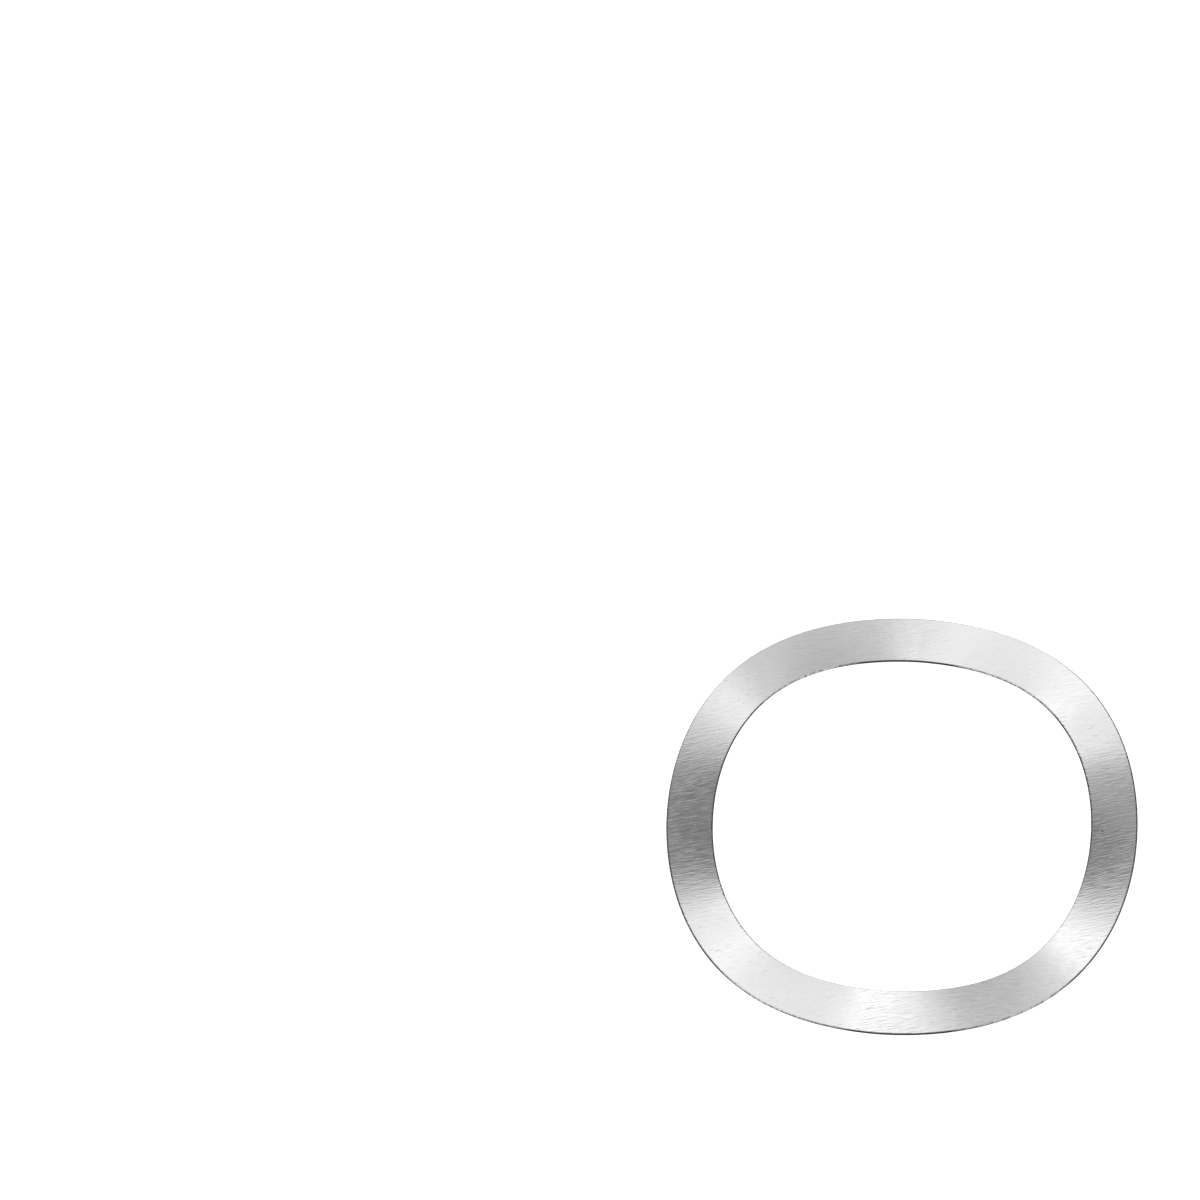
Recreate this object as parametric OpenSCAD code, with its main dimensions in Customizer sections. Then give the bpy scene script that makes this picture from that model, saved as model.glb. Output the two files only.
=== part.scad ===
// Wave spring washer: a thin ring, blanked from spring-steel strip and pressed into even waves,
// so that it pushes lightly with its crests against one flat seat and its troughs against another.
// Millimetres. The washer lies on its troughs at z = 0, its axis is Z and its first crest is on +X.

/* [Ring] */
// Outside diameter of the ring
outer_d = 46.5; // [42:0.1:60]
// Width of the ring's face, from the rim in to the hole
face_w = 4.6; // [2:0.1:9]
// Thickness of the strip, square to its face
strip_t = 0.35; // [0.28:0.01:1]

/* [Waves] */
// Crests around the ring
waves = 3; // [2:1:6]
// Free height, from the seat under the troughs to the seat over the crests
free_h = 4; // [1:0.1:8]
// Length around the rim of the flat on which each crest and each trough bears
contact_land = 0.8; // [0.2:0.1:3]

/* [Sheared edges] */
// Depth of the rounding that the shear draws into the upper face
roll_depth = 0.08; // [0.02:0.01:0.12]
// Width of that rounding, along the face
roll_width = 0.15; // [0.04:0.01:0.4]
// Size of the bevel that tumbling leaves on the lower edges
foot_bevel = 0.03; // [0.01:0.005:0.06]

/* [Smoothness] */
// Facets from the edge of one contact flat to the edge of the next
slope_steps = 24; // [18:1:40]
// Facets in each rounded upper edge
roll_steps = 4; // [2:1:6]

/* [Hidden] */

outer_r = outer_d / 2;
bore_r = outer_r - face_w;
half_t = strip_t / 2;
// Height of the strip's middle above and below the mid-plane, at a crest and a trough
wave_rise = (free_h - strip_t) / 2;
// Angle from a crest to the next trough, and the parts of it that are flat and sloping
half_wave = 180 / waves;
land_angle = contact_land / outer_r * 180 / PI;
slope_angle = half_wave - land_angle;
// Slope of the rounding where it meets the wall
roll_turn = 60;
// The strip is swept a little wide, so that the true rim and bore trim its facets all round
trim_spare = 0.01;
trim = trim_spare + outer_r * (1 - cos(slope_angle / slope_steps / 2));
// How far the cylinders that trim it stand past the strip, and their smoothness on screen
trim_reach = 1;
trim_fn = 180;

// A sheared edge seen in section, from the upper face round to the lower face:
// how far each point lies in from the wall, and its height from the strip's middle.
// The last point of the rounding and the two after it lie outside the wall.
function sheared_edge() =
    let (
        rounding = [
            for (i = [0 : roll_steps])
                let (turn = roll_turn * i / (roll_steps - 0.5))
                [roll_width * (1 - sin(turn) / sin(roll_turn)),
                 half_t - roll_depth * (1 - cos(turn)) / (1 - cos(roll_turn))]],
        rounding_end = rounding[roll_steps][1]
    )
    concat(rounding, [
        [-trim, rounding_end - trim],
        [-trim, foot_bevel + trim - half_t],
        [foot_bevel, -half_t]
    ]);

function reversed(list) = [for (i = [len(list) - 1 : -1 : 0]) list[i]];

// The strip in section as a closed loop of [radius, height from the strip's middle]:
// down the rim's wall, then along the lower face and up the bore's wall.
function strip_section() = concat(
    [for (p = sheared_edge()) [outer_r - p[0], p[1]]],
    [for (p = reversed(sheared_edge())) [bore_r + p[0], p[1]]]);

// The places around the ring where the section is set, as [angle, phase of the wave].
// The phase stands still along each contact flat and runs evenly between two flats.
function stations() = [
    for (half = [0 : 2 * waves - 1], i = [0 : slope_steps])
        [half * half_wave + land_angle / 2 + slope_angle * i / slope_steps,
         180 * (half + i / slope_steps)]];

// A point of the section carried to its station, with the strip's thickness square to the slope
function placed(point, station) =
    let (
        radius = point[0],
        angle = station[0],
        phase = station[1],
        phase_per_angle = 180 / slope_angle,
        slope = -wave_rise * sin(phase) * phase_per_angle / radius,
        rise = point[1] / sqrt(1 + slope * slope),
        lean = -slope * rise,
        middle = free_h / 2 + wave_rise * cos(phase)
    )
    [radius * cos(angle) - lean * sin(angle),
     radius * sin(angle) + lean * cos(angle),
     middle + rise];

// The strip swept once around, with its waves and its rounded edges
module waved_strip() {
    section = strip_section();
    ring = stations();
    m = len(section);
    n = len(ring);
    points = [for (station = ring, point = section) placed(point, station)];
    faces = [
        for (j = [0 : n - 1], i = [0 : m - 1])
            let (
                here = j * m,
                next = (j + 1) % n * m,
                k = (i + 1) % m
            )
            each [
                [here + i, here + k, next + k],
                [here + i, next + k, next + i]
            ]];
    polyhedron(points, faces, convexity = 6);
}

// The space between the true rim and the true bore, well past both faces
module ring_blank() {
    difference() {
        translate([0, 0, -trim_reach])
            cylinder(h = free_h + 2 * trim_reach, r = outer_r, $fn = trim_fn);
        translate([0, 0, -2 * trim_reach])
            cylinder(h = free_h + 4 * trim_reach, r = bore_r, $fn = trim_fn);
    }
}

module wave_washer() {
    color([0.70, 0.71, 0.72])
        intersection() {
            waved_strip();
            ring_blank();
        }
}

wave_washer();
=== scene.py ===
# %% [markdown]
# A wave spring washer.
# The real one is a thin ring, blanked from rolled spring-steel strip and pressed into three even waves.
# Its two faces keep the straight grain of the rolling mill, and its rim and bore are sheared edges.
# This lesson makes the ring in Geometry Nodes in the order of the workshop: section, blank, press.
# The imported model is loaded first, because every size comes from it and the new ring lies where it lies.

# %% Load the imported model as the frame
import math
import bpy
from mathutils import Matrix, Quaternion, Vector


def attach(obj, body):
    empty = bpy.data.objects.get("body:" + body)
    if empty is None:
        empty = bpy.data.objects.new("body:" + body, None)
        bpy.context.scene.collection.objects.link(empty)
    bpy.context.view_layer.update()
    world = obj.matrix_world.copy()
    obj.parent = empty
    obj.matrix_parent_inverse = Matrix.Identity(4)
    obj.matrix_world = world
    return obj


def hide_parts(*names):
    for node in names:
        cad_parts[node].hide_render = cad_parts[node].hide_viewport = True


MM = 0.001
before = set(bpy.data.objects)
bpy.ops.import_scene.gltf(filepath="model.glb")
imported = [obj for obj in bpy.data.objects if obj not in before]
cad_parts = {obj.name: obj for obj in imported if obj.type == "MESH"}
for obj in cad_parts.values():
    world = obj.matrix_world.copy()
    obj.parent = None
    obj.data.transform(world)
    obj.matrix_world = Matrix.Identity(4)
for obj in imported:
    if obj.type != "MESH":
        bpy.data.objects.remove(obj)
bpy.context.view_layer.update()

# %% [markdown]
# Four sizes rule the ring: the rim, the bore, the strip's thickness and the free height.
# They could be typed in again, but then the picture and the solid could drift apart.
# So they are measured on the solid's own corners. The crest on +X also shows the strip's thickness
# and the small flat on which that crest bears.

# %% Measure the solid
HAIR = 0.001 * MM
CREST_SPREAD = 0.5
JUST_PAST = 1.001
corners = [vertex.co.copy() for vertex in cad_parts["wave_washer"].data.vertices]
free_height = max(c.z for c in corners)
outer_radius = max(math.hypot(c.x, c.y) for c in corners)
bore_radius = min(math.hypot(c.x, c.y) for c in corners)
near_crest = [c for c in corners if c.x > 0 and abs(c.y) < CREST_SPREAD * c.x]
crest_top = [c for c in near_crest if c.z > free_height - HAIR]
half_land = max(abs(math.atan2(c.y, c.x)) for c in crest_top)
at_crest = [c for c in near_crest if abs(math.atan2(c.y, c.x)) < JUST_PAST * half_land]
strip_thickness = free_height - min(c.z for c in at_crest)
print("rim, bore, height, strip in mm:",
      [round(v / MM, 3) for v in (outer_radius, bore_radius, free_height, strip_thickness)])
print("contact flat in degrees:", round(math.degrees(2 * half_land), 3))

# %% [markdown]
# The camera looks down steeply, from far off, so that near and far waves keep the same size.
# An orthographic camera would do that too, but a long lens also works from any other side.
# The camera's place is a bearing and a height round the washer. A small pan and tilt then put the
# washer low and to the right in the picture, and a slight roll sets it as it lies there.

# %% Camera
PICTURE = 1200
BEARING = math.radians(-21.95)
CAMERA_HEIGHT = math.radians(65.78)
ROLL = math.radians(-3.93)
WASHER_AT = (901.8, 825.7)
PIXELS_PER_METRE = 10146
LENS = 600
SENSOR = 36
CLIP_NEAR = 0.1
CLIP_FAR = 3


def from_bearing(bearing, height):
    """The unit vector from the washer to something at this bearing, where 0 is on -Y, and height."""
    flat = math.cos(height)
    return Vector((math.sin(bearing) * flat, -math.cos(bearing) * flat, math.sin(height)))


middle = Vector((0, 0, free_height / 2))
focal_pixels = LENS / SENSOR * PICTURE
camera_away = focal_pixels / PIXELS_PER_METRE
back = from_bearing(BEARING, CAMERA_HEIGHT)
pan = math.atan((WASHER_AT[0] - PICTURE / 2) / focal_pixels)
tilt = math.atan((WASHER_AT[1] - PICTURE / 2) / focal_pixels)
turn = (-back).to_track_quat("-Z", "Y") @ Quaternion((0, 0, 1), ROLL)
turn = turn @ Quaternion((0, 1, 0), pan) @ Quaternion((1, 0, 0), tilt)
camera = bpy.data.objects.new("camera", bpy.data.cameras.new("camera"))
camera.data.lens = LENS
camera.data.sensor_width = SENSOR
camera.data.clip_start = camera_away * CLIP_NEAR
camera.data.clip_end = camera_away * CLIP_FAR
camera.location = middle + back * camera_away
camera.rotation_mode = "QUATERNION"
camera.rotation_quaternion = turn
bpy.context.scene.collection.objects.link(camera)
bpy.context.scene.camera = camera
print("camera is", round(camera_away, 3), "m away")

# %% [markdown]
# Node trees are wired in the same way for shapes and for finishes, so four small helpers serve both.
# They could be wired by hand in the editor, but a script can be read and run again.
# A value can be given as a number or as another node's socket.

# %% Helpers for node trees


def add_node(tree, kind, **settings):
    """A new node of this kind, with its settings."""
    node = tree.nodes.new(kind)
    for name, value in settings.items():
        setattr(node, name, value)
    return node


def feed(tree, socket, value):
    """Link another socket to this one, or set its own value."""
    if isinstance(value, bpy.types.NodeSocket):
        tree.links.new(value, socket)
    else:
        socket.default_value = value


def calc(tree, operation, *values):
    """The result of one Math node."""
    node = add_node(tree, "ShaderNodeMath", operation=operation)
    for socket, value in zip(node.inputs, values):
        feed(tree, socket, value)
    return node.outputs[0]


def map_range(tree, value, low, high, to_low=0.0, to_high=1.0):
    """A value carried from one range to another, and held at the ends."""
    node = add_node(tree, "ShaderNodeMapRange")
    for name, given in (("Value", value), ("From Min", low), ("From Max", high),
                        ("To Min", to_low), ("To Max", to_high)):
        feed(tree, node.inputs[name], given)
    return node.outputs["Result"]


print("helpers:", ", ".join(helper.__name__ for helper in (add_node, feed, calc, map_range)))

# %% [markdown]
# The finishes need four more helpers: a plain grey, a blend of two colours, a ramp from dark to light,
# and soft noise of a given size. The steel is grey all over, so its colours differ only in how light
# they are. A Mix node has sockets for numbers, vectors and colours under the same names, so its colours
# go by index.

# %% Helpers for finishes
FIRST_COLOUR = 6
SECOND_COLOUR = 7
MIXED_COLOUR = 2


def grey(level):
    """An opaque grey."""
    return (level, level, level, 1)


def blend(tree, share, first, second):
    """The first colour, with this share of the second."""
    node = add_node(tree, "ShaderNodeMix", data_type="RGBA")
    feed(tree, node.inputs["Factor"], share)
    feed(tree, node.inputs[FIRST_COLOUR], first)
    feed(tree, node.inputs[SECOND_COLOUR], second)
    return node.outputs[MIXED_COLOUR]


def shade(tree, value, dark, light, dark_at=0.0, light_at=1.0):
    """A grey that runs from dark to light with the value."""
    node = add_node(tree, "ShaderNodeValToRGB")
    for stop, level, position in zip(node.color_ramp.elements, (dark, light), (dark_at, light_at)):
        stop.position = position
        stop.color = grey(level)
    feed(tree, node.inputs[0], value)
    return node.outputs[0]


def soft_noise(tree, place, size):
    """Noise whose lumps are about this size."""
    node = add_node(tree, "ShaderNodeTexNoise")
    feed(tree, node.inputs["Vector"], place)
    feed(tree, node.inputs["Scale"], 1 / size)
    return node.outputs["Fac"]


print("helpers:", ", ".join(helper.__name__ for helper in (grey, blend, shade, soft_noise)))

# %% [markdown]
# Rolled strip carries fine parallel lines, because the rolls drag their own grinding marks along it.
# The sheared edges carry lines too, but across the thickness, where the punch scraped past.
# A Wave Texture would draw lines too even for either. Both are noise stretched along one direction,
# so they share one node group with a length and a width.

# %% Streaks, a group for both finishes
STREAK_DETAIL = 1.0
STREAK_SHARPNESS = 0.6


def make_streaks_group():
    group = bpy.data.node_groups.new("drawn_streaks", "ShaderNodeTree")
    group.interface.new_socket("Vector", in_out="INPUT", socket_type="NodeSocketVector")
    for name in ("Length", "Width", "Shift"):
        group.interface.new_socket(name, in_out="INPUT", socket_type="NodeSocketFloat")
    group.interface.new_socket("Streaks", in_out="OUTPUT", socket_type="NodeSocketFloat")
    given = add_node(group, "NodeGroupInput").outputs
    apart = add_node(group, "ShaderNodeSeparateXYZ")
    feed(group, apart.inputs[0], given["Vector"])
    joined = add_node(group, "ShaderNodeCombineXYZ")
    along = calc(group, "DIVIDE", apart.outputs["X"], given["Length"])
    feed(group, joined.inputs["X"], calc(group, "ADD", along, given["Shift"]))
    feed(group, joined.inputs["Y"], calc(group, "DIVIDE", apart.outputs["Y"], given["Width"]))
    feed(group, joined.inputs["Z"], given["Shift"])
    noise = add_node(group, "ShaderNodeTexNoise", noise_dimensions="3D")
    feed(group, noise.inputs["Vector"], joined.outputs[0])
    feed(group, noise.inputs["Scale"], 1.0)
    feed(group, noise.inputs["Detail"], STREAK_DETAIL)
    feed(group, noise.inputs["Roughness"], STREAK_SHARPNESS)
    out = add_node(group, "NodeGroupOutput")
    feed(group, out.inputs["Streaks"], noise.outputs["Fac"])
    return group


streaks_group = make_streaks_group()


def streaks(tree, vector, length, width, shift):
    """Streaks of this length and width along the vector's X; each shift gives other streaks."""
    node = add_node(tree, "ShaderNodeGroup", node_tree=streaks_group)
    for name, value in (("Vector", vector), ("Length", length), ("Width", width), ("Shift", shift)):
        feed(tree, node.inputs[name], value)
    return node.outputs["Streaks"]


print("group", streaks_group.name, "with", len(streaks_group.nodes), "nodes")

# %% [markdown]
# The blanks are stamped out of strip, so the grain runs straight across the whole ring and not around it.
# Broad and fine lines are added together. Handling leaves scratches, but only in some places,
# so a soft noise says where, and only the strongest of a third set of streaks are kept.
# A painted picture of lines could not be turned or scaled like this.

# %% Lines and scratches of the rolled faces
GRAIN_TURN = math.radians(-16)
BROAD_LINES = {"length": 2.2 * MM, "width": 0.25 * MM, "shift": 1.0}
FINE_LINES = {"length": 1.2 * MM, "width": 0.13 * MM, "shift": 5.0}
SCRATCHES = {"length": 1.5 * MM, "width": 0.1 * MM, "shift": 9.0}
BROAD_SHARE = 0.4
FINE_SHARE = 0.6
HANDLED = (0.46, 0.6)
STRONGEST = (0.69, 0.73)


def turned(tree, place, turn_y=0.0, turn_z=0.0):
    """The same place, turned about Y and Z."""
    mapping = add_node(tree, "ShaderNodeMapping")
    feed(tree, mapping.inputs["Vector"], place)
    feed(tree, mapping.inputs["Rotation"], (0, turn_y, turn_z))
    return mapping.outputs[0]


def add_lines(tree, broad, fine):
    """The two sets of rolled lines as one height."""
    broad_part = calc(tree, "MULTIPLY", broad, BROAD_SHARE)
    fine_part = calc(tree, "MULTIPLY", fine, FINE_SHARE)
    return calc(tree, "ADD", broad_part, fine_part)


def scratches(tree, grain, haze):
    """Scratches along the grain, where the face was handled."""
    marks = streaks(tree, grain, **SCRATCHES)
    return calc(tree, "MULTIPLY", map_range(tree, marks, *STRONGEST), map_range(tree, haze, *HANDLED))


print("grain turned by", round(math.degrees(GRAIN_TURN)), "degrees")

# %% [markdown]
# A few dark pits sit in the strip where scale was rolled in. They could be pressed into the mesh, but at
# a tenth of a millimetre they are only dots. A Voronoi texture scatters one point in each cell. Its colour
# is random for each cell, so a limit on that colour keeps only some of the points, and the distance
# to the point makes a small round dot.

# %% Pits in the faces
PIT_SPACING = 2.2 * MM
PIT_RARITY = 0.8
PIT_REACH = (0.05, 0.025)


def pits(tree, place):
    """One in a pit and nought elsewhere."""
    cells = add_node(tree, "ShaderNodeTexVoronoi")
    feed(tree, cells.inputs["Vector"], place)
    feed(tree, cells.inputs["Scale"], 1 / PIT_SPACING)
    picked = add_node(tree, "ShaderNodeSeparateColor")
    feed(tree, picked.inputs[0], cells.outputs["Color"])
    rare = calc(tree, "GREATER_THAN", picked.outputs[0], PIT_RARITY)
    return calc(tree, "MULTIPLY", map_range(tree, cells.outputs["Distance"], *PIT_REACH), rare)


print("pits at most", round(PIT_REACH[0] * PIT_SPACING / MM, 2), "mm in radius")

# %% [markdown]
# The rim and the bore get a thin dark line with notches, strongest where the edge crosses the grain and
# faint where it runs along it. The line is painted shade, standing in for the dark outline of the rounded
# edges.
# It is not a separate piece: it is painted into the face's colour close to the walls, by the distance to
# them.

# %% Painted shade along the walls
MID_RADIUS = (outer_radius + bore_radius) / 2
HALF_FACE = (outer_radius - bore_radius) / 2
RIM_SHADE_WIDTH = 0.17 * MM
NOTCH = 0.3 * MM
NOISE_MIDDLE = 0.5
CROSSING_POWER = 6.0
LEAST_LINE = 0.08


def from_axis(tree, place):
    """How far a place lies from the washer's axis."""
    level_place = add_node(tree, "ShaderNodeVectorMath", operation="MULTIPLY")
    feed(tree, level_place.inputs[0], place)
    feed(tree, level_place.inputs[1], (1, 1, 0))
    length = add_node(tree, "ShaderNodeVectorMath", operation="LENGTH")
    feed(tree, length.inputs[0], level_place.outputs[0])
    return length.outputs["Value"]


def painted_rim_shade(tree, place, grain, fine):
    """How strong the painted shade along the walls is."""
    reach = from_axis(tree, place)
    from_mid = calc(tree, "ABSOLUTE", calc(tree, "SUBTRACT", reach, MID_RADIUS))
    gap = calc(tree, "SUBTRACT", HALF_FACE, from_mid)
    notched = calc(tree, "MULTIPLY_ADD", calc(tree, "SUBTRACT", fine, NOISE_MIDDLE), -NOTCH, gap)
    grain_parts = add_node(tree, "ShaderNodeSeparateXYZ")
    feed(tree, grain_parts.inputs[0], grain)
    crossing = calc(tree, "ABSOLUTE", calc(tree, "DIVIDE", grain_parts.outputs["X"], reach))
    crossing = calc(tree, "POWER", crossing, CROSSING_POWER)
    strength = calc(tree, "MULTIPLY_ADD", crossing, 1 - LEAST_LINE, LEAST_LINE)
    return calc(tree, "MULTIPLY", map_range(tree, notched, RIM_SHADE_WIDTH, RIM_SHADE_WIDTH / 2), strength)


print("dark line of", round(RIM_SHADE_WIDTH / MM, 2), "mm")

# %% [markdown]
# The faces are bare satin steel. Such a face shows its grain best where a slope mirrors the edge of
# a light, since each line tilts the surface a little and so picks another tone. Lines that are only
# painted would look the same everywhere, so these are a bump of a few microns. They also change how
# rough the steel is, so some gather light from wider around, and the tone itself changes only a little.

# %% Finish of the two faces
HAZE_SIZE = 5 * MM
LINE_HEIGHT = 0.018 * MM
SCRATCH_DEPTH = 0.3
HAZE_TONE = 0.3
LINE_TONE = 0.7
LINE_SPAN = (0.3, 0.7)
STEEL_TONES = (0.6, 0.72)
STEEL_ROUGHNESS = (0.08, 0.36)
SPOILT_TONE = 0.12
SCRATCH_STAIN = 0.4
RIM_SHADE_TONE = 0.05


def make_face_finish():
    material = bpy.data.materials.new("rolled_spring_steel")
    material.use_nodes = True
    tree = material.node_tree
    shader = tree.nodes["Principled BSDF"]
    place = add_node(tree, "ShaderNodeTexCoord").outputs["Object"]
    grain = turned(tree, place, turn_z=-GRAIN_TURN)
    haze = soft_noise(tree, place, HAZE_SIZE)
    fine = streaks(tree, grain, **FINE_LINES)
    lines = add_lines(tree, streaks(tree, grain, **BROAD_LINES), fine)
    scratch = scratches(tree, grain, haze)
    tone = calc(tree, "MULTIPLY_ADD", haze, HAZE_TONE, calc(tree, "MULTIPLY", lines, LINE_TONE))
    spoilt = calc(tree, "MAXIMUM", pits(tree, place), calc(tree, "MULTIPLY", scratch, SCRATCH_STAIN))
    colour = blend(tree, spoilt, shade(tree, tone, *STEEL_TONES, *LINE_SPAN), grey(SPOILT_TONE))
    # Painted shade: a thin dark line along the walls stands in for the dark outline of the rounded edges.
    colour = blend(tree, painted_rim_shade(tree, place, grain, fine), colour, grey(RIM_SHADE_TONE))
    bump = add_node(tree, "ShaderNodeBump")
    feed(tree, bump.inputs["Strength"], 1.0)
    feed(tree, bump.inputs["Distance"], LINE_HEIGHT)
    feed(tree, bump.inputs["Height"], calc(tree, "MULTIPLY_ADD", scratch, -SCRATCH_DEPTH, lines))
    feed(tree, shader.inputs["Base Color"], colour)
    feed(tree, shader.inputs["Metallic"], 1.0)
    feed(tree, shader.inputs["Roughness"], map_range(tree, lines, *LINE_SPAN, *STEEL_ROUGHNESS))
    feed(tree, shader.inputs["Normal"], bump.outputs[0])
    return material


face_finish = make_face_finish()
print("finish", face_finish.name, "with", len(face_finish.node_tree.nodes), "nodes")

# %% [markdown]
# The walls are lighter in some stretches round the ring and dark in others. The lighter stretches are
# painted
# reflection: they stand in for the brighter surroundings that the slanting walls mirror. The stretches
# could be drawn by hand, but here they follow from the angle to an axis that lies near the grain, and a
# soft noise makes their ends uneven.

# %% Painted sheen stretches of the walls
SLANT_TURN = math.radians(-26)
STRETCH_SIZE = 4 * MM
UNEVENNESS = 0.3
SHEEN_BEGINS = (0.22, 0.42)
SHEEN_ENDS = (0.6, 0.8)


def painted_sheen_stretches(tree, place):
    """One in a painted sheen stretch and nought elsewhere."""
    where = soft_noise(tree, place, STRETCH_SIZE)
    apart = add_node(tree, "ShaderNodeSeparateXYZ")
    feed(tree, apart.inputs[0], turned(tree, place, turn_z=-SLANT_TURN))
    reach = add_node(tree, "ShaderNodeVectorMath", operation="LENGTH")
    feed(tree, reach.inputs[0], place)
    along = calc(tree, "ABSOLUTE", calc(tree, "DIVIDE", apart.outputs["X"], reach.outputs["Value"]))
    uneven = calc(tree, "MULTIPLY_ADD", calc(tree, "SUBTRACT", where, NOISE_MIDDLE), UNEVENNESS, along)
    begun = map_range(tree, uneven, *SHEEN_BEGINS)
    ended = map_range(tree, uneven, *SHEEN_ENDS)
    return calc(tree, "SUBTRACT", begun, ended)


print("smear slants by", round(math.degrees(SLANT_TURN)), "degrees")

# %% [markdown]
# The walls are thin, so from above they draw the ring's dark outline, broken here and there by painted
# glints.
# They could share the finish of the faces, but they get one of their own: darker and rougher steel, scraped
# across, with painted highlights as bright specks in the painted sheen stretches. A torn wall loses its
# shine at a slant. A black Specular Tint does that for a metal, so the wall is darker from above than from
# the side.

# %% Finish of the sheared edges
SCRAPES = {"length": 0.6 * MM, "width": 0.12 * MM, "shift": 3.0}
UPRIGHT = math.radians(90)
GLINT_SIZE = 0.3 * MM
GLINT_SPAN = (0.46, 0.52)
SHEEN_TONE = 0.6
SCRAPE_TONE = 0.1
WALL_TONES = (0.07, 0.65)
GLINT_TONE = 0.95
WALL_ROUGHNESS = (0.35, 0.55)
SCRAPE_HEIGHT = 0.01 * MM


def make_edge_finish():
    material = bpy.data.materials.new("sheared_edge_steel")
    material.use_nodes = True
    tree = material.node_tree
    shader = tree.nodes["Principled BSDF"]
    place = add_node(tree, "ShaderNodeTexCoord").outputs["Object"]
    scrape = streaks(tree, turned(tree, place, turn_y=UPRIGHT), **SCRAPES)
    painted_sheen = painted_sheen_stretches(tree, place)
    # Painted highlights: bright specks in the painted sheen stretches stand in for glints off the burr.
    painted_glints = map_range(tree, soft_noise(tree, place, GLINT_SIZE), *GLINT_SPAN)
    # Painted reflection: the wall's tone rises in the painted sheen stretches, standing in for brighter
    # surroundings mirrored in the walls.
    level = calc(tree, "MULTIPLY_ADD", painted_sheen, SHEEN_TONE, calc(tree, "MULTIPLY", scrape, SCRAPE_TONE))
    glint_share = calc(tree, "MULTIPLY", painted_glints, painted_sheen)
    colour = blend(tree, glint_share, shade(tree, level, *WALL_TONES), grey(GLINT_TONE))
    feed(tree, shader.inputs["Base Color"], colour)
    feed(tree, shader.inputs["Metallic"], 1.0)
    feed(tree, shader.inputs["Specular Tint"], grey(0))
    feed(tree, shader.inputs["Roughness"], map_range(tree, scrape, *LINE_SPAN, *WALL_ROUGHNESS))
    bump = add_node(tree, "ShaderNodeBump")
    feed(tree, bump.inputs["Strength"], 1.0)
    feed(tree, bump.inputs["Distance"], SCRAPE_HEIGHT)
    feed(tree, bump.inputs["Height"], scrape)
    feed(tree, shader.inputs["Normal"], bump.outputs[0])
    return material


edge_finish = make_edge_finish()
print("finish", edge_finish.name, "with", len(edge_finish.node_tree.nodes), "nodes")

# %% [markdown]
# Now the ring. A bent plane or a lathe would do for a flat washer, but here the strip rises and falls,
# and its thickness stays square to the slope. A Geometry Nodes tree can follow that rule exactly:
# a rectangle with rounded corners is the strip in section, a sweep round a circle is the blank,
# and Set Position is the press, which lifts each point by the wave and leans it with the slope.
# The tree's inputs are the washer's own sizes, so the same tree makes other washers of the kind.

# %% Inputs of the ring's tree
ring_tree = bpy.data.node_groups.new("pressed_ring", "GeometryNodeTree")
ring_tree.is_modifier = True
MEASURES = ("Rim Radius", "Bore Radius", "Strip Thickness", "Free Height", "Contact Flat",
            "Upper Rounding", "Foot Rounding", "Torn Depth")
COUNTS = ("Waves", "Steps Around", "Face Cuts", "Seed")
FINISHES = ("Face Finish", "Edge Finish")
SOCKET_KINDS = ((MEASURES, "NodeSocketFloat"), (COUNTS, "NodeSocketInt"), (FINISHES, "NodeSocketMaterial"))
ring_sockets = {}
ring_tree.interface.new_socket("Geometry", in_out="INPUT", socket_type="NodeSocketGeometry")
for names, kind in SOCKET_KINDS:
    for name in names:
        ring_sockets[name] = ring_tree.interface.new_socket(name, in_out="INPUT", socket_type=kind)
ring_tree.interface.new_socket("Geometry", in_out="OUTPUT", socket_type="NodeSocketGeometry")
sizes = add_node(ring_tree, "NodeGroupInput").outputs


def ring(operation, *values):
    """A sum in the ring's tree."""
    return calc(ring_tree, operation, *values)


print("inputs:", ", ".join(ring_sockets))

# %% [markdown]
# The strip in section is a rectangle. Shearing pulls the upper corners round, and tumbling only
# breaks the lower ones, so the corner radius depends on which side of the middle a corner is.
# A Bevel on the finished ring could round them too, but a fillet on four corners is far less work.

# %% Section of the strip
HALF = 0.5
CORNER_STEPS = 5
face_width = ring("SUBTRACT", sizes["Rim Radius"], sizes["Bore Radius"])
half_face = ring("MULTIPLY", face_width, HALF)
mid_radius = ring("MULTIPLY", ring("ADD", sizes["Rim Radius"], sizes["Bore Radius"]), HALF)
rectangle = add_node(ring_tree, "GeometryNodeCurvePrimitiveQuadrilateral")
feed(ring_tree, rectangle.inputs["Width"], face_width)
feed(ring_tree, rectangle.inputs["Height"], sizes["Strip Thickness"])
point_at = add_node(ring_tree, "GeometryNodeInputPosition").outputs[0]
point_parts = add_node(ring_tree, "ShaderNodeSeparateXYZ")
feed(ring_tree, point_parts.inputs[0], point_at)
is_upper = ring("GREATER_THAN", point_parts.outputs["Y"], 0.0)
corner_gain = ring("SUBTRACT", sizes["Upper Rounding"], sizes["Foot Rounding"])
corner_radius = ring("MULTIPLY_ADD", is_upper, corner_gain, sizes["Foot Rounding"])
rounded = add_node(ring_tree, "GeometryNodeFilletCurve", mode="POLY")
feed(ring_tree, rounded.inputs["Curve"], rectangle.outputs[0])
feed(ring_tree, rounded.inputs["Radius"], corner_radius)
feed(ring_tree, rounded.inputs["Count"], CORNER_STEPS)
print("section of", len(ring_tree.nodes), "nodes")

# %% [markdown]
# Smooth shading blends the light from point to point, so a long side with no points of its own would
# look rounded right across. The long sides and the walls are therefore cut, and a longer one more often.
# On the faces the cuts crowd towards the edges, so the face stays flat and only its rounding looks round.

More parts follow.
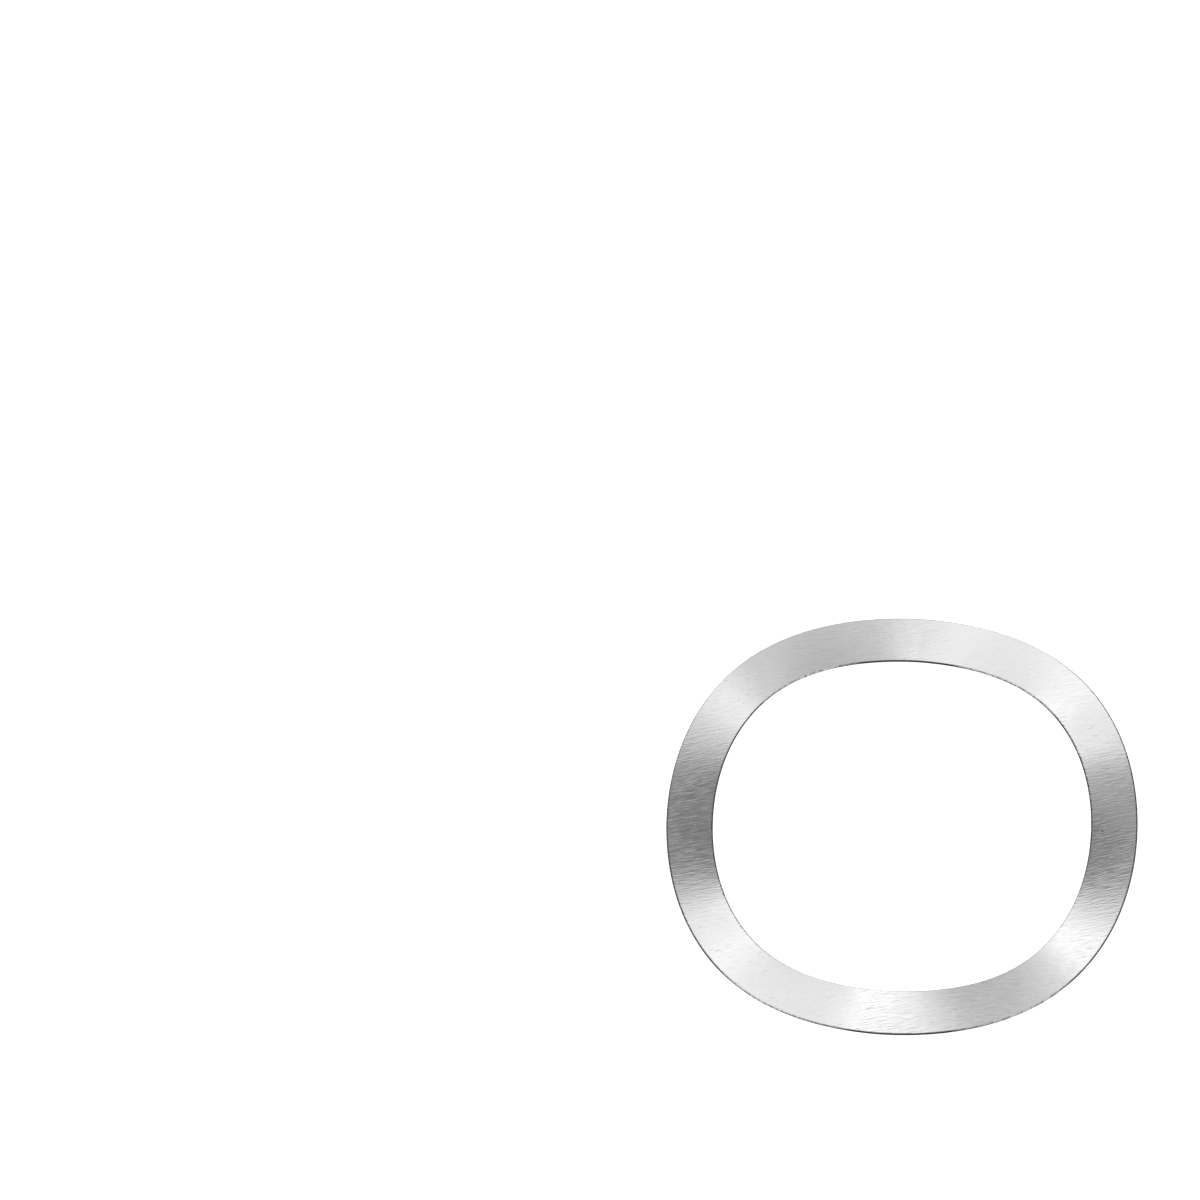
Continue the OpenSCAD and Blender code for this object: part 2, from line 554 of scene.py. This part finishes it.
# %% Cuts along the section
SHORTEST_CUT = 0.3
next_point = add_node(ring_tree, "GeometryNodeOffsetPointInCurve")
feed(ring_tree, next_point.inputs["Offset"], 1)
next_at = add_node(ring_tree, "GeometryNodeFieldAtIndex", data_type="FLOAT_VECTOR")
feed(ring_tree, next_at.inputs["Index"], next_point.outputs["Point Index"])
feed(ring_tree, next_at.inputs["Value"], point_at)
stretch = add_node(ring_tree, "ShaderNodeVectorMath", operation="DISTANCE")
feed(ring_tree, stretch.inputs[0], point_at)
feed(ring_tree, stretch.inputs[1], next_at.outputs[0])
shortest = ring("MULTIPLY", sizes["Strip Thickness"], SHORTEST_CUT)
cuts = ring("FLOOR", ring("DIVIDE", stretch.outputs["Value"], shortest))
cut_section = add_node(ring_tree, "GeometryNodeSubdivideCurve")
feed(ring_tree, cut_section.inputs["Curve"], rounded.outputs[0])
feed(ring_tree, cut_section.inputs["Cuts"], ring("MINIMUM", cuts, sizes["Face Cuts"]))
flat_reach = ring("SUBTRACT", half_face, sizes["Upper Rounding"])
flat_share = ring("DIVIDE", point_parts.outputs["X"], flat_reach)
crowded = ring("MULTIPLY", ring("SINE", ring("MULTIPLY", flat_share, math.pi / 2)), flat_reach)
crowded_at = add_node(ring_tree, "ShaderNodeCombineXYZ")
feed(ring_tree, crowded_at.inputs["X"], crowded)
feed(ring_tree, crowded_at.inputs["Y"], point_parts.outputs["Y"])
crowd = add_node(ring_tree, "GeometryNodeSetPosition")
feed(ring_tree, crowd.inputs["Geometry"], cut_section.outputs[0])
feed(ring_tree, crowd.inputs["Selection"], ring("LESS_THAN", ring("ABSOLUTE", flat_share), 1.0))
feed(ring_tree, crowd.inputs["Position"], crowded_at.outputs[0])
section = add_node(ring_tree, "GeometryNodeCaptureAttribute", domain="POINT")
section.capture_items.new("VECTOR", "Section")
feed(ring_tree, section.inputs["Geometry"], crowd.outputs[0])
feed(ring_tree, section.inputs["Section"], point_at)
print("with its cuts,", len(ring_tree.nodes), "nodes")

# %% [markdown]
# The blank is the section swept once round a circle. Each point of the circle carries its angle along,
# and each point of the section its own place, so the press can work from those two.
# A Screw modifier would also sweep it, but it would not hand on the angle.

# %% Blank
circle = add_node(ring_tree, "GeometryNodeCurvePrimitiveCircle", mode="RADIUS")
feed(ring_tree, circle.inputs["Resolution"], sizes["Steps Around"])
feed(ring_tree, circle.inputs["Radius"], mid_radius)
around = add_node(ring_tree, "GeometryNodeCaptureAttribute", domain="POINT")
around.capture_items.new("FLOAT", "Angle")
step = add_node(ring_tree, "GeometryNodeInputIndex").outputs[0]
part_turn = ring("DIVIDE", step, sizes["Steps Around"])
feed(ring_tree, around.inputs["Geometry"], circle.outputs[0])
feed(ring_tree, around.inputs["Angle"], ring("MULTIPLY", part_turn, math.tau))
blank = add_node(ring_tree, "GeometryNodeCurveToMesh")
feed(ring_tree, blank.inputs["Curve"], around.outputs["Geometry"])
feed(ring_tree, blank.inputs["Profile Curve"], section.outputs["Geometry"])
angle = around.outputs["Angle"]
section_parts = add_node(ring_tree, "ShaderNodeSeparateXYZ")
feed(ring_tree, section_parts.inputs[0], section.outputs["Section"])
from_mid = section_parts.outputs["X"]
above_mid = section_parts.outputs["Y"]
print("blank of", len(ring_tree.nodes), "nodes")

# %% [markdown]
# The shear tears the walls a little, about a hundredth of a millimetre. A bump in the finish would shade
# like that but leave the outline smooth, so the points themselves move: near a wall the radius gets a fine
# seeded noise, always towards the middle of the strip, so the ring never outgrows the solid.

# %% Torn walls
TEAR_SIZE = 0.3 * MM
ROUNDING_SHARE = 0.9
side_reach = ring("ABSOLUTE", from_mid)
rounding_start = ring("SUBTRACT", half_face, ring("MULTIPLY", sizes["Upper Rounding"], ROUNDING_SHARE))
wall_mask = map_range(ring_tree, side_reach, rounding_start, half_face)
side = ring("SIGN", from_mid)
tear_at = add_node(ring_tree, "ShaderNodeCombineXYZ")
feed(ring_tree, tear_at.inputs["X"], ring("MULTIPLY", ring("COSINE", angle), mid_radius))
feed(ring_tree, tear_at.inputs["Y"], ring("MULTIPLY", ring("SINE", angle), mid_radius))
feed(ring_tree, tear_at.inputs["Z"], ring("MULTIPLY_ADD", side, sizes["Rim Radius"], above_mid))
tear = add_node(ring_tree, "ShaderNodeTexNoise", noise_dimensions="4D")
feed(ring_tree, tear.inputs["Vector"], tear_at.outputs[0])
feed(ring_tree, tear.inputs["W"], sizes["Seed"])
feed(ring_tree, tear.inputs["Scale"], 1 / TEAR_SIZE)
torn_in = ring("MULTIPLY", ring("MULTIPLY", tear.outputs["Fac"], wall_mask), sizes["Torn Depth"])
offset = ring("SUBTRACT", from_mid, ring("MULTIPLY", torn_in, side))
radius = ring("ADD", mid_radius, offset)
print("with torn walls,", len(ring_tree.nodes), "nodes")

# %% [markdown]
# The press gives the washer its spring. Between two contact flats the wave runs evenly from crest to
# trough, as a cosine, and on the flats it stands still. A Simple Deform or a lattice would bend the ring
# too, but would not keep the flats level. Here the height follows from the angle alone.

# %% Wave of the press
half_wave = ring("DIVIDE", math.pi, sizes["Waves"])
half_count = ring("DIVIDE", angle, half_wave)
still_share = ring("DIVIDE", ring("MULTIPLY", sizes["Contact Flat"], HALF), half_wave)
on_slope = map_range(ring_tree, ring("FRACT", half_count), still_share, ring("SUBTRACT", 1.0, still_share))
phase = ring("MULTIPLY", ring("ADD", ring("FLOOR", half_count), on_slope), math.pi)
wave_rise = ring("MULTIPLY", ring("SUBTRACT", sizes["Free Height"], sizes["Strip Thickness"]), HALF)
strip_mid = ring("MULTIPLY", sizes["Free Height"], HALF)
strip_height = ring("MULTIPLY_ADD", ring("COSINE", phase), wave_rise, strip_mid)
print("wave of", len(ring_tree.nodes), "nodes")

# %% [markdown]
# Pressed strip keeps its thickness square to the slope. If each point only rose, the slopes would come
# out thin. So the slope is worked out from the wave and the radius, and each point of the section leans
# with it.

# %% Lean with the slope
phase_rate = ring("DIVIDE", math.pi, ring("SUBTRACT", half_wave, sizes["Contact Flat"]))
steepest = ring("DIVIDE", ring("MULTIPLY", wave_rise, phase_rate), radius)
slope = ring("MULTIPLY", ring("MULTIPLY", ring("SINE", phase), steepest), -1.0)
stretch_up = ring("SQRT", ring("MULTIPLY_ADD", slope, slope, 1.0))
rise = ring("DIVIDE", above_mid, stretch_up)
lean = ring("MULTIPLY", ring("MULTIPLY", slope, rise), -1.0)
pressed_to = add_node(ring_tree, "ShaderNodeCombineXYZ")
across_x = ring("MULTIPLY", radius, ring("COSINE", angle))
across_y = ring("MULTIPLY", radius, ring("SINE", angle))
lean_x = ring("MULTIPLY", lean, ring("SINE", angle))
feed(ring_tree, pressed_to.inputs["X"], ring("SUBTRACT", across_x, lean_x))
feed(ring_tree, pressed_to.inputs["Y"], ring("MULTIPLY_ADD", lean, ring("COSINE", angle), across_y))
feed(ring_tree, pressed_to.inputs["Z"], ring("ADD", strip_height, rise))
press = add_node(ring_tree, "GeometryNodeSetPosition")
feed(ring_tree, press.inputs["Geometry"], blank.outputs[0])
feed(ring_tree, press.inputs["Position"], pressed_to.outputs[0])
print("press of", len(ring_tree.nodes), "nodes")

# %% [markdown]
# The sweep leaves its faces pointing inwards, so they are flipped, or the steel would be inside out.
# Last come the two finishes. All faces get the rolled one first, and then the walls, with nearly all
# of their rounding, get the sheared one over it. Two objects would need a seam between them.

# %% Finishes and the end of the tree
outward = add_node(ring_tree, "GeometryNodeFlipFaces")
feed(ring_tree, outward.inputs["Mesh"], press.outputs[0])
smooth = add_node(ring_tree, "GeometryNodeSetShadeSmooth")
feed(ring_tree, smooth.inputs["Geometry"], outward.outputs[0])
whole = add_node(ring_tree, "GeometryNodeRealizeInstances")
feed(ring_tree, whole.inputs["Geometry"], smooth.outputs[0])
faces_done = add_node(ring_tree, "GeometryNodeSetMaterial")
feed(ring_tree, faces_done.inputs["Geometry"], whole.outputs[0])
feed(ring_tree, faces_done.inputs["Material"], sizes["Face Finish"])
edges_done = add_node(ring_tree, "GeometryNodeSetMaterial")
feed(ring_tree, edges_done.inputs["Geometry"], faces_done.outputs[0])
feed(ring_tree, edges_done.inputs["Material"], sizes["Edge Finish"])
feed(ring_tree, edges_done.inputs["Selection"], ring("GREATER_THAN", side_reach, rounding_start))
tree_end = add_node(ring_tree, "NodeGroupOutput")
feed(ring_tree, tree_end.inputs["Geometry"], edges_done.outputs[0])
print("tree of", len(ring_tree.nodes), "nodes")

# %% [markdown]
# An empty mesh carries the tree. Its inputs are set by their identifiers before anything is evaluated,
# and the result is turned into a plain mesh, which is what the part keeps.
# The modifier could stay on the object, but a plain mesh can be measured and exported as it is.

# %% Make the ring
RING_VALUES = {
    "Rim Radius": outer_radius,
    "Bore Radius": bore_radius,
    "Strip Thickness": strip_thickness,
    "Free Height": free_height,
    "Contact Flat": 2 * half_land,
    "Upper Rounding": 0.06 * MM,
    "Foot Rounding": 0.03 * MM,
    "Torn Depth": 0.012 * MM,
    "Waves": 3,
    "Steps Around": 1440,
    "Face Cuts": 10,
    "Seed": 4,
    "Face Finish": face_finish,
    "Edge Finish": edge_finish,
}
carrier = bpy.data.objects.new("carrier", bpy.data.meshes.new("carrier"))
bpy.context.scene.collection.objects.link(carrier)
modifier = carrier.modifiers.new("pressed_ring", "NODES")
modifier.node_group = ring_tree
for name, value in RING_VALUES.items():
    modifier[ring_sockets[name].identifier] = value
bpy.context.view_layer.update()
depsgraph = bpy.context.evaluated_depsgraph_get()
ring_mesh = bpy.data.meshes.new_from_object(carrier.evaluated_get(depsgraph), depsgraph=depsgraph)
carrier.modifiers.remove(modifier)
bpy.data.objects.remove(carrier)
ring_mesh.name = "pressed_ring"
washer = bpy.data.objects.new("pressed_ring", ring_mesh)
bpy.context.scene.collection.objects.link(washer)
triangles = sum(len(polygon.vertices) - 2 for polygon in ring_mesh.polygons)
print("ring:", len(ring_mesh.vertices), "points,", triangles, "triangles,",
      [material.name for material in ring_mesh.materials])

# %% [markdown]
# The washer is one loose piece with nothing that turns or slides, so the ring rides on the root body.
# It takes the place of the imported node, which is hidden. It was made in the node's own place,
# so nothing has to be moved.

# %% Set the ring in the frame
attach(washer, "root")
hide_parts("wave_washer")
print("ring rides on root")

# %% [markdown]
# The floor is a plain pale sheet. A matt sheet under these lights would come out grey, and more light
# would burn out the steel as well, so the sheet has a little light of its own.
# The camera sees it white, while the steel mirrors a dimmer sheet and keeps its dark walls.

# %% Floor
FLOOR_HALF = 2.0
SHEET_TONE = 0.7
SHEET_ROUGHNESS = 0.9
SHEET_GLOW = 0.3
CAMERA_GLOW = 0.6


def make_floor():
    mesh = bpy.data.meshes.new("floor")
    spots = [(-FLOOR_HALF, -FLOOR_HALF, 0), (FLOOR_HALF, -FLOOR_HALF, 0),
             (FLOOR_HALF, FLOOR_HALF, 0), (-FLOOR_HALF, FLOOR_HALF, 0)]
    mesh.from_pydata(spots, [], [(0, 1, 2, 3)])
    material = bpy.data.materials.new("pale_sheet")
    material.use_nodes = True
    tree = material.node_tree
    shader = tree.nodes["Principled BSDF"]
    feed(tree, shader.inputs["Base Color"], grey(SHEET_TONE))
    feed(tree, shader.inputs["Roughness"], SHEET_ROUGHNESS)
    feed(tree, shader.inputs["Specular IOR Level"], 0.0)
    feed(tree, shader.inputs["Emission Color"], grey(1))
    seen = add_node(tree, "ShaderNodeLightPath").outputs["Is Camera Ray"]
    glow = calc(tree, "MULTIPLY_ADD", seen, CAMERA_GLOW, SHEET_GLOW)
    feed(tree, shader.inputs["Emission Strength"], glow)
    mesh.materials.append(material)
    floor = bpy.data.objects.new("floor", mesh)
    bpy.context.scene.collection.objects.link(floor)
    return floor


floor = make_floor()
print("floor", 2 * FLOOR_HALF, "m wide")

# %% [markdown]
# Steel shows what surrounds it, so the lights are panels whose place decides the tone of every slope.
# A point light would give only small hard glints. A studio panel also glows less towards its edges.
# Here that is a stack of even sheets that share the panel's glow, each larger than the last and a little
# farther off, because of two sheets in one plane only one would count.

# %% A panel that fades out
LIGHT_AWAY = 0.7
SHEET_STEP = 0.05
FADE = (0.78, 1.0, 1.22)


def add_sheet(name, away, distance, wide, tall, glow):
    """One evenly lit sheet that faces the washer from this direction, its spans in degrees."""
    data = bpy.data.lights.new(name, "AREA")
    data.shape = "RECTANGLE"
    data.size = 2 * distance * math.tan(math.radians(wide / 2))
    data.size_y = 2 * distance * math.tan(math.radians(tall / 2))
    data.energy = glow * math.pi * data.size * data.size_y
    sheet = bpy.data.objects.new(name, data)
    sheet.location = middle + away * distance
    sheet.rotation_mode = "QUATERNION"
    sheet.rotation_quaternion = (-away).to_track_quat("-Z", "Y")
    sheet.visible_camera = False
    bpy.context.scene.collection.objects.link(sheet)


def add_panel(name, bearing, height, wide, tall, glow, distance=LIGHT_AWAY, fade=FADE):
    """A panel beyond the washer, its bearing to the right of the view, that fades out to its edges."""
    away = from_bearing(BEARING + math.pi - math.radians(bearing), math.radians(height))
    for share in fade:
        sheet_away = distance * (1 - SHEET_STEP + SHEET_STEP * share)
        add_sheet(name, away, sheet_away, wide * share, tall * share, glow / len(fade))


print("a panel has", len(FADE), "sheets")

# %% [markdown]
# The main panel stands beyond the washer to the left, with weaker ones in the middle and to the right.
# A small one hangs close above, so the near and the far side of the ring mirror it differently.
# Between them the room stays dim, which gives the slopes at the left and right their dark bands.
# Four low panels all round serve the other views and light the walls.

# %% Lights
NEAR_AWAY = 0.061
NEAR_FADE = (0.9, 1.1)
EVEN = (1.0,)
ROOM_GLOW = 0.27
add_panel("main_panel", bearing=-32.5, height=50.5, wide=43.5, tall=52.5, glow=0.94)
add_panel("middle_panel", bearing=5, height=41, wide=31, tall=32, glow=0.5)
add_panel("right_panel", bearing=51, height=49, wide=40, tall=48, glow=0.43)
add_panel("near_panel", bearing=16.5, height=75.5, wide=40, tall=31, glow=0.46,
          distance=NEAR_AWAY, fade=NEAR_FADE)
add_panel("left_low_panel", bearing=-80, height=27, wide=40, tall=26, glow=0.9, fade=EVEN)
add_panel("right_low_panel", bearing=95, height=22, wide=50, tall=24, glow=0.7, fade=EVEN)
add_panel("front_panel", bearing=170, height=28, wide=70, tall=30, glow=0.9, fade=EVEN)
add_panel("far_low_panel", bearing=10, height=12, wide=60, tall=14, glow=0.8, fade=EVEN)
world = bpy.data.worlds.new("room")
world.use_nodes = True
world.node_tree.nodes["Background"].inputs["Color"].default_value = grey(1)
world.node_tree.nodes["Background"].inputs["Strength"].default_value = ROOM_GLOW
bpy.context.scene.world = world
bpy.context.scene.view_settings.view_transform = "Standard"
